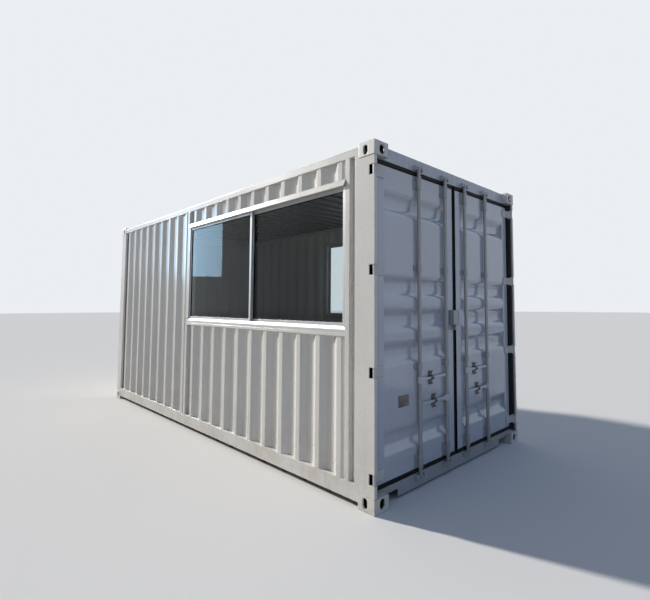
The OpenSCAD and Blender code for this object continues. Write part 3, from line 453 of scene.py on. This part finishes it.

# Door header and sill
# Pressed steel beams over and under the doors, with the cams' keepers welded on. The header's underside is
# painted black, as painted shade in the gap over the leaves. The sill is driven over, so it is worn and
# dirty.
# The door end's paint is the body's off-white, written darker and bluer as painted shade, because the door
# end stands in open shade.
SHADED_DOOR_PAINT = (0.56, 0.58, 0.62, 1)
SILL_PAINT = (0.42, 0.42, 0.43, 1)
HEADER_GAP_SHADE = (0.02, 0.021, 0.021, 1)
HEADER_UNDERSIDE = -0.5
header_paint = painted("header_paint", SHADED_DOOR_PAINT, dust=0.6, rust=0.5, roughness=0.26, edge=0.006,
                       wear=0.5)
tree = header_paint.node_tree
underneath = calc(tree, "LESS_THAN", facing(tree)[2], HEADER_UNDERSIDE)
overlaid(header_paint, underneath, HEADER_GAP_SHADE)
finish(header_paint, "door_header", "cam_keepers")
finish(painted("sill_paint", SILL_PAINT, dust=0.9, rust=0.8, roughness=0.34, edge=0.006, wear=0.8),
       "door_sill")

# Door leaves and lock gear
# The leaves are steel tube and sheet, welded and sprayed glossy. The lock bars, handles, catches and
# hinge blades are steel tube and forgings, bolted or welded on and painted, and handling chips them.
GEAR_PAINT = (0.36, 0.375, 0.385, 1)
HANDLE_PAINT = (0.58, 0.59, 0.60, 1)
# The catches are written near black, as painted shade round the handles' hasps.
SHADED_CATCH_PAINT = (0.10, 0.105, 0.115, 1)
HINGE_PAINT = (0.62, 0.62, 0.60, 1)
finish(painted("door_paint", SHADED_DOOR_PAINT, dust=0.35, rust=0.2, roughness=0.16, edge=0.004,
               coat_weight=0.35),
       "left_door_stiles", "left_door_rails", "left_door_panel",
       "right_door_stiles", "right_door_rails", "right_door_panel", "right_door_lock_box")
gear_paint = painted("gear_paint", GEAR_PAINT, dust=0.6, rust=0.8, roughness=0.2, edge=0.003, wear=0.7,
                     coat_weight=0.6)
finish(gear_paint, "left_door_lock_bars", "left_door_bar_brackets", "left_door_lock_box",
       "right_door_lock_bars", "right_door_bar_brackets")
finish(painted("handle_paint", HANDLE_PAINT, dust=0.5, rust=0.8, roughness=0.2, edge=0.003, wear=0.9,
               coat_weight=0.6),
       "left_door_handles", "right_door_handles")
finish(painted("catch_paint", SHADED_CATCH_PAINT, dust=0.3, rust=0.6, roughness=0.4, edge=0.002, wear=0.7),
       "left_door_catches", "right_door_catches")
finish(painted("hinge_paint", HINGE_PAINT, dust=0.6, rust=0.8, roughness=0.36, edge=0.004, wear=0.6),
       "left_door_hinges", "right_door_hinges", "hinge_pins")

# Floor
# Plywood sheets of marine grade, oiled and scuffed. They are screwed down on the cross members,
# with their grain along the cabin.
PLYWOOD = (0.36, 0.2, 0.1, 1)
DARK_GRAIN = (0.20, 0.105, 0.05, 1)
SCUFFED = (0.40, 0.33, 0.25, 1)


def plywood_grain():
    group, given, out = new_group(
        "plywood_grain", [("Wood", "NodeSocketColor", PLYWOOD)],
        [("Colour", "NodeSocketColor"), ("Roughness", "NodeSocketFloat"), ("Height", "NodeSocketFloat")])
    place = add(group, "ShaderNodeTexCoord").outputs["Object"]
    grain = pattern(group, place, scale=3, detail=6, cut=(0.3, 0.7), stretch=(1.4, 26, 10))
    worn = pattern(group, place, scale=1.7, detail=4, cut=(0.35, 0.7))
    wood = blend_colour(group, grain, given.outputs["Wood"], DARK_GRAIN)
    link(group, blend_colour(group, scaled(group, worn, 0.4), wood, SCUFFED), out.inputs["Colour"])
    link(group, calc(group, "ADD", 0.45, scaled(group, worn, 0.3)), out.inputs["Roughness"])
    link(group, grain, out.inputs["Height"])
    return group


plywood, tree, shader = new_material("plywood")
boards = add(tree, "ShaderNodeGroup", node_tree=plywood_grain())
cover(tree, shader, boards, strength=0.4, depth=0.001)
finish(plywood, "floor_boards")

# Windows
# Sliding windows of extruded aluminium with a clear anodised finish and 5 mm float glass. The glass
# carries a film of dust, wiped in arcs.
ALUMINIUM = (0.58, 0.585, 0.58, 1)
METAL_DUST = (0.46, 0.43, 0.38, 1)
GLASS_TINT = (0.80, 0.85, 0.86, 1)
SHADOW_TINT = (0.70, 0.76, 0.75, 1)
ARCS_FROM = (-0.75, 0, -1.9)


def drawn_metal():
    """Metal with fine lines along it from the die, under a film of dust."""
    group, given, out = new_group(
        "drawn_metal", [("Metal", "NodeSocketColor", (0.7, 0.7, 0.7, 1)), ("Dust", "NodeSocketFloat", 0.4)],
        [("Colour", "NodeSocketColor"), ("Roughness", "NodeSocketFloat"), ("Height", "NodeSocketFloat")])
    place = add(group, "ShaderNodeTexCoord").outputs["Object"]
    lines = pattern(group, place, scale=1, detail=3, cut=(0.3, 0.7), stretch=(2, 240, 240))
    patches = pattern(group, place, scale=3, detail=5, cut=(0.4, 0.75), stretch=(2, 2, 2))
    film = calc(group, "MULTIPLY", patches, given.outputs["Dust"])
    link(group, blend_colour(group, film, given.outputs["Metal"], METAL_DUST), out.inputs["Colour"])
    rough = calc(group, "ADD", 0.3, scaled(group, film, 0.4))
    link(group, calc(group, "ADD", scaled(group, lines, 0.08), rough), out.inputs["Roughness"])
    link(group, lines, out.inputs["Height"])
    return group


METAL_GROUP = drawn_metal()
aluminium, tree, shader = new_material("window_aluminium")
metal = add(tree, "ShaderNodeGroup", node_tree=METAL_GROUP)
metal.inputs["Metal"].default_value = ALUMINIUM
cover(tree, shader, metal, strength=0.2, depth=0.0002, normal=rounded(tree, edge=0.002))
shader.inputs["Metallic"].default_value = 0.35
finish(aluminium, "window_frame_rails", "window_frame_jambs", "front_sashes", "rear_sashes")

# The glass bends and mirrors light less than real glass, whose index is 1.52, because the pale
# backdrop would otherwise wash out the dark room behind the panes. It lets most sunlight through.
glass, tree, shader = new_material("window_glass")
shader.inputs["Base Color"].default_value = GLASS_TINT
shader.inputs["IOR"].default_value = 1.15
shader.inputs["Specular IOR Level"].default_value = 0.25
shader.inputs["Transmission Weight"].default_value = 1
place = add(tree, "ShaderNodeTexCoord").outputs["Object"]
middle = add(tree, "ShaderNodeMapping")
middle.inputs["Location"].default_value = ARCS_FROM
link(tree, place, middle.inputs[0])
arcs = add(tree, "ShaderNodeTexWave", wave_type="RINGS", rings_direction="Y")
arcs.inputs["Scale"].default_value = 2.6
arcs.inputs["Distortion"].default_value = 7
arcs.inputs["Detail"].default_value = 3
link(tree, middle.outputs[0], arcs.inputs[0])
film = pattern(tree, place, scale=1.3, detail=4, cut=(0.42, 0.66), values=(0, 0.09))
smear = calc(tree, "MULTIPLY", ramp(tree, arcs.outputs["Fac"], cut=(0.55, 0.95)), film)
link(tree, smear, shader.inputs["Roughness"])
clear = add(tree, "ShaderNodeBsdfTransparent", in_0=SHADOW_TINT)
in_shadow = add(tree, "ShaderNodeLightPath").outputs["Is Shadow Ray"]
surface = blend_shader(tree, in_shadow, shader.outputs[0], clear.outputs[0])
link(tree, surface, tree.nodes["Material Output"].inputs["Surface"])
finish(glass, "window_glass")

# Glazing strips
# Soft black rubber, extruded as a flat strip. It is pressed in round each pane on both sides, to
# hold the glass in its sash.
STRIP_W = 0.006
STRIP_D = 0.005
GLASS_T = 0.005
PANE_BACK = 0.011
NEW_RUBBER = (0.004, 0.004, 0.005, 1)
CHALKED_RUBBER = (0.018, 0.018, 0.02, 1)
SQUARE_ON = 0.9


def fresh():
    """Leaves edit mode and deselects everything, before a new piece."""
    if bpy.context.mode != "OBJECT":
        bpy.ops.object.mode_set(mode="OBJECT")
    bpy.ops.object.select_all(action="DESELECT")


def take(piece, mode="OBJECT"):
    fresh()
    piece.select_set(True)
    bpy.context.view_layer.objects.active = piece
    bpy.ops.object.mode_set(mode=mode)


def put_in_mesh():
    """Moves the place, turn and scale of what is selected into its mesh."""
    bpy.ops.object.transform_apply(location=True, rotation=True, scale=True)


def block(name, low, high):
    """A box between two corners, in edit mode."""
    fresh()
    bpy.ops.mesh.primitive_cube_add(size=1, location=[(a + b) / 2 for a, b in zip(low, high)])
    piece = bpy.context.object
    piece.name = name
    piece.scale = [b - a for a, b in zip(low, high)]
    put_in_mesh()
    bpy.ops.object.mode_set(mode="EDIT")
    return piece


def pick(piece, kind, test):
    """Selects the faces, edges or vertices of a piece in edit mode that pass a test."""
    bpy.ops.mesh.select_mode(type=kind)
    bpy.ops.mesh.select_all(action="DESELECT")
    mesh = bmesh.from_edit_mesh(piece.data)
    for item in {"FACE": mesh.faces, "EDGE": mesh.edges, "VERT": mesh.verts}[kind]:
        if kind == "FACE":
            item.select_set(test(item.calc_center_median(), item.normal))
        elif kind == "EDGE":
            start, end = (vertex.co for vertex in item.verts)
            item.select_set(test((start + end) / 2, (end - start).normalized()))
        else:
            item.select_set(test(item.co))
    mesh.select_flush_mode()
    bmesh.update_edit_mesh(piece.data)


def modify(piece, kind, **settings):
    modifier = piece.modifiers.new(kind.lower(), kind)
    for name, value in settings.items():
        setattr(modifier, name, value)
    take(piece)
    bpy.ops.object.modifier_apply(modifier=modifier.name)


def soften(piece, degrees):
    take(piece)
    bpy.ops.object.shade_smooth_by_angle(angle=math.radians(degrees))


def joined(parts, name):
    """One object of several, with their places in its mesh."""
    take(parts[0])
    for part in parts:
        part.select_set(True)
    put_in_mesh()
    bpy.ops.object.join()
    parts[0].name = name
    return parts[0]


def mirrored(piece, name):
    """A copy across the middle of the cabin, its faces turned outwards again."""
    twin = piece.copy()
    twin.data = piece.data.copy()
    twin.name = name
    scene.collection.objects.link(twin)
    twin.scale = (1, -1, 1)
    take(twin)
    put_in_mesh()
    bpy.ops.object.mode_set(mode="EDIT")
    bpy.ops.mesh.select_all(action="SELECT")
    bpy.ops.mesh.normals_make_consistent(inside=False)
    bpy.ops.object.mode_set(mode="OBJECT")
    return twin


def settle(piece, body, material):
    """Rides a piece on its body, with its finish."""
    fresh()
    piece.data.materials.clear()
    piece.data.materials.append(material)
    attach(piece, body)


rubber, tree, shader = new_material("door_rubber")
place = add(tree, "ShaderNodeTexCoord").outputs["Object"]
chalk = pattern(tree, place, scale=9, detail=5, cut=(0.45, 0.8))
link(tree, blend_colour(tree, chalk, NEW_RUBBER, CHALKED_RUBBER), shader.inputs["Base Color"])
link(tree, ramp(tree, chalk, cut=(0, 1), values=(0.5, 0.7)), shader.inputs["Roughness"])
shader.inputs["Specular IOR Level"].default_value = 0.12

glass_low, glass_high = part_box("window_glass")
front_low, front_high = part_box("front_sashes")
rear_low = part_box("rear_sashes")[0]
member_w = glass_low[0] - front_low[0]
pane_l = (front_high[0] - front_low[0]) - 2 * member_w
strips = []
for pane_x, sash_y in ((glass_low[0], front_low[1]), (glass_high[0] - pane_l, rear_low[1])):
    pane_y = sash_y + PANE_BACK
    for y in (pane_y - GLASS_T / 2 - STRIP_D, pane_y + GLASS_T / 2):
        strip = block("glazing_strip", (pane_x, y, glass_low[2]),
                      (pane_x + pane_l, y + STRIP_D, glass_high[2]))
        pick(strip, "FACE", lambda middle, normal: abs(normal.y) > SQUARE_ON)
        bpy.ops.mesh.inset(thickness=STRIP_W)
        bpy.ops.mesh.bridge_edge_loops()
        strips.append(strip)
left_strips = joined(strips, "glazing_strips_left")
settle(left_strips, "cabin", rubber)
settle(mirrored(left_strips, "glazing_strips_right"), "cabin", rubber)

# Door seals
# Black rubber extrusions, riveted round the tubes of each leaf. A rounded outer lip stands forward
# and closes the gap to the frame.
LOOP_IN = 0.01
LIP_STEP = 0.0035
LIP_RISE = 0.0165
LIP_ROUND = 0.003
NEAR = 0.001


def door_seal(side):
    """A frame round the leaf: a block is holed at the leaf's outline, and its front drawn out."""
    low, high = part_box(f"{side}_door_seal")
    leaf_low, leaf_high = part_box(f"{side}_door_stiles")
    seal = block(f"{side}_seal", low, high)
    pick(seal, "FACE", lambda middle, normal: abs(normal.x) > SQUARE_ON)
    bpy.ops.mesh.inset(thickness=LOOP_IN)
    for axis in (1, 2):
        for edge, target in ((low[axis] + LOOP_IN, leaf_low[axis]), (high[axis] - LOOP_IN, leaf_high[axis])):
            pick(seal, "VERT", lambda co: abs(co[axis] - edge) < NEAR)
            shift = [0, 0, 0]
            shift[axis] = target - edge
            bpy.ops.transform.translate(value=shift)
    pick(seal, "FACE", lambda middle, normal: abs(normal.x) > SQUARE_ON and
         leaf_low[1] + NEAR < middle.y < leaf_high[1] - NEAR and
         leaf_low[2] + NEAR < middle.z < leaf_high[2] - NEAR)
    bpy.ops.mesh.bridge_edge_loops()
    pick(seal, "FACE", lambda middle, normal: normal.x > SQUARE_ON)
    bpy.ops.mesh.inset(thickness=LIP_STEP, use_even_offset=True)
    bpy.ops.mesh.extrude_region_move(TRANSFORM_OT_translate={"value": (LIP_RISE, 0, 0)})
    pick(seal, "EDGE", lambda middle, way: middle.x > high[0] + LIP_RISE - NEAR)
    bpy.ops.mesh.bevel(offset=LIP_ROUND, segments=3, affect="EDGES")
    soften(seal, degrees=40)
    return seal


for side in ("left", "right"):
    seal = door_seal(side)
    settle(seal, f"{side}_door", rubber)
    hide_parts(f"{side}_door_seal")

# Door panels
# Sheet of 2 mm steel with five wide troughs rolled into it, welded between the tubes of the leaf.
# The rolled bends are round, so the glossy paint draws them as soft bands.
PANEL_T = 0.002
TROUGH_DEPTH = 0.036
TROUGH_PITCH = 0.277
END_TROUGH = 0.1955
FLOOR_HALF = 0.042
MOUTH_HALF = 0.090
BEND_RADIUS = 0.024


def door_panel(side):
    low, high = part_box(f"{side}_door_panel")
    foot, head = low[2], high[2]
    middle_z = (foot + head) / 2
    fresh()
    bpy.ops.mesh.primitive_plane_add(size=1, rotation=(0, math.radians(90), 0),
                                     location=(high[0], (low[1] + high[1]) / 2, middle_z))
    panel = bpy.context.object
    panel.name = f"{side}_panel"
    panel.scale = (head - foot, high[1] - low[1], 1)
    put_in_mesh()
    bpy.ops.object.mode_set(mode="EDIT")
    troughs = [foot + END_TROUGH, middle_z - TROUGH_PITCH, middle_z, middle_z + TROUGH_PITCH,
               head - END_TROUGH]
    for trough in troughs:
        for fold in (-MOUTH_HALF, -FLOOR_HALF, FLOOR_HALF, MOUTH_HALF):
            bpy.ops.mesh.select_all(action="SELECT")
            bpy.ops.mesh.bisect(plane_co=(0, 0, trough + fold), plane_no=(0, 0, 1))
    pick(panel, "VERT", lambda co: any(abs(co.z - trough) < FLOOR_HALF + NEAR for trough in troughs))
    bpy.ops.transform.translate(value=(-TROUGH_DEPTH, 0, 0))
    pick(panel, "EDGE", lambda middle, way: abs(way.y) > SQUARE_ON and
         any(FLOOR_HALF - NEAR < abs(middle.z - trough) < MOUTH_HALF + NEAR for trough in troughs))
    bpy.ops.mesh.bevel(offset=BEND_RADIUS, segments=7, affect="EDGES")
    bpy.ops.mesh.select_all(action="SELECT")
    bpy.ops.mesh.normals_make_consistent(inside=False)
    bpy.ops.object.mode_set(mode="OBJECT")
    if panel.data.polygons[0].normal.x < 0:
        take(panel, "EDIT")
        bpy.ops.mesh.select_all(action="SELECT")
        bpy.ops.mesh.flip_normals()
    modify(panel, "SOLIDIFY", thickness=PANEL_T, offset=-1)
    soften(panel, degrees=40)
    return panel


door_sheet_paint = painted("door_sheet_paint", SHADED_DOOR_PAINT, dust=0.35, rust=0.2, roughness=0.10,
                           edge=0.002, depth=0.0015, coat_weight=0.5)
for side in ("left", "right"):
    panel = door_panel(side)
    settle(panel, f"{side}_door", door_sheet_paint)
    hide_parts(f"{side}_door_panel")

# Bracket bolts
# Button-headed steel bolts that hold the brackets of the lock bars to the leaves, painted over
# with them. The end brackets have two rows of bolts, the middle ones one.
BOLT_R = 0.0085
BOLT_H = 0.006
BOLT_ROUND = 0.003
BRACKET_T = 0.006
BAR_PLACES = (0.179, 0.597)
ROW_FROM_MIDDLE = 0.036
BRACKET_ROWS = (0.241 - ROW_FROM_MIDDLE, 0.241 + ROW_FROM_MIDDLE, 1.043, 1.904,
                2.672 - ROW_FROM_MIDDLE, 2.672 + ROW_FROM_MIDDLE)
BOLT_FROM_BAR = 0.042


def bolt_head():
    fresh()
    bpy.ops.mesh.primitive_cylinder_add(vertices=12, radius=BOLT_R, depth=BOLT_H,
                                        rotation=(0, math.radians(90), 0), location=(BOLT_H / 2, 0, 0))
    head = bpy.context.object
    put_in_mesh()
    bpy.ops.object.mode_set(mode="EDIT")
    pick(head, "FACE", lambda middle, normal: normal.x > SQUARE_ON)
    bpy.ops.mesh.bevel(offset=BOLT_ROUND, segments=2, affect="EDGES")
    soften(head, degrees=50)
    return head


head = bolt_head()
leaf_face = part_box("right_door_stiles")[1][0]
heads = []
for bar_y in BAR_PLACES:
    for row_z in BRACKET_ROWS:
        for y in (bar_y - BOLT_FROM_BAR, bar_y + BOLT_FROM_BAR):
            bolt = head.copy()
            bolt.data = head.data.copy()
            bolt.location = (leaf_face + BRACKET_T, y, row_z)
            scene.collection.objects.link(bolt)
            heads.append(bolt)
bpy.data.objects.remove(head)
bolts = joined(heads, "right_door_bolts")
settle(bolts, "right_door", gear_paint)
settle(mirrored(bolts, "left_door_bolts"), "left_door", gear_paint)

# Data plate
# Thin anodised aluminium plate with a raised rim, riveted to the lower part of the left leaf.
# It is left blank.
PLATE_LOW = (leaf_face - 0.0005, -0.865, 0.726)
PLATE_HIGH = (leaf_face + 0.0015, -0.725, 0.824)
PLATE_RIM = 0.006
PLATE_RECESS = 0.0006
PLATE_ROUND = 0.0006
PLATE_METAL = (0.115, 0.105, 0.10, 1)
plate = block("data_plate", PLATE_LOW, PLATE_HIGH)
pick(plate, "FACE", lambda middle, normal: normal.x > SQUARE_ON)
bpy.ops.mesh.inset(thickness=PLATE_RIM)
bpy.ops.transform.translate(value=(-PLATE_RECESS, 0, 0))
bpy.ops.object.mode_set(mode="OBJECT")
modify(plate, "BEVEL", width=PLATE_ROUND, segments=2)
plate_metal, tree, shader = new_material("plate_metal")
metal = add(tree, "ShaderNodeGroup", node_tree=METAL_GROUP)
metal.inputs["Metal"].default_value = PLATE_METAL
link(tree, metal.outputs["Colour"], shader.inputs["Base Color"])
link(tree, metal.outputs["Roughness"], shader.inputs["Roughness"])
shader.inputs["Metallic"].default_value = 0.3
settle(plate, "left_door", plate_metal)
